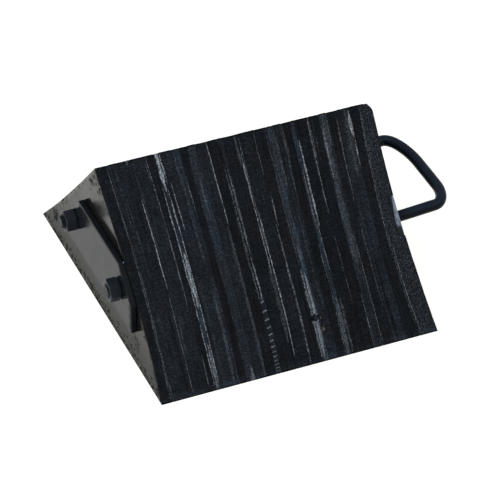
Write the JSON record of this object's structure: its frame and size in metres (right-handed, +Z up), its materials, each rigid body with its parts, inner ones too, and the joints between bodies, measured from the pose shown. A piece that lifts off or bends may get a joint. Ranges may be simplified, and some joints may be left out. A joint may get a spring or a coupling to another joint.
{
  "type": "wheel chock",
  "caption": "Wedge-shaped wheel chock of rubber plies clamped between steel plates by tie rods, with a round-bar carry handle on one end.",
  "frame": {"origin": "centre of the wedge's flat base, midway along the stack of plies", "axes": "+X along the stack towards the handle end, +Z up, +Y towards the back slope, the one hidden in the picture"},
  "size_m": [0.4235, 0.38, 0.19],
  "materials": {
    "ply_black": "matt cut tyre rubber",
    "ply_grey": "matt cut tyre rubber with pale cord lines",
    "ply_crumb": "rough speckled rubber",
    "clamp_steel": "gloss black paint",
    "rod_steel": "black paint",
    "nut_steel": "black paint",
    "weld": "painted weld bead",
    "handle_steel": "gloss black paint"
  },
  "bodies": {
    "root": {"rubber_ply_01": "ply_black", "rubber_ply_02": "ply_grey", "rubber_ply_03": "ply_black", "rubber_ply_04": "ply_black", "rubber_ply_05": "ply_black", "rubber_ply_06": "ply_grey", "rubber_ply_07": "ply_black", "rubber_ply_08": "ply_black", "rubber_ply_09": "ply_black", "rubber_ply_10": "ply_grey", "rubber_ply_11": "ply_black", "rubber_ply_12": "ply_black", "rubber_ply_13": "ply_grey", "rubber_ply_14": "ply_black", "rubber_ply_15": "ply_black", "rubber_ply_16": "ply_black", "rubber_ply_17": "ply_grey", "rubber_ply_18": "ply_grey", "rubber_ply_19": "ply_black", "rubber_ply_20": "ply_grey", "rubber_ply_21": "ply_black", "rubber_ply_22": "ply_black", "rubber_ply_23": "ply_grey", "rubber_ply_24": "ply_black", "rubber_ply_25": "ply_black", "rubber_ply_26": "ply_black", "rubber_ply_27": "ply_crumb", "clamp_plate_nut_end": "clamp_steel", "clamp_plate_handle_end": "clamp_steel", "tie_rod_front": "rod_steel", "tie_rod_back": "rod_steel", "nut_front": "nut_steel", "nut_back": "nut_steel", "handle_weld_front": "weld", "handle_weld_back": "weld", "handle": "handle_steel"}
  },
  "joints": []
}
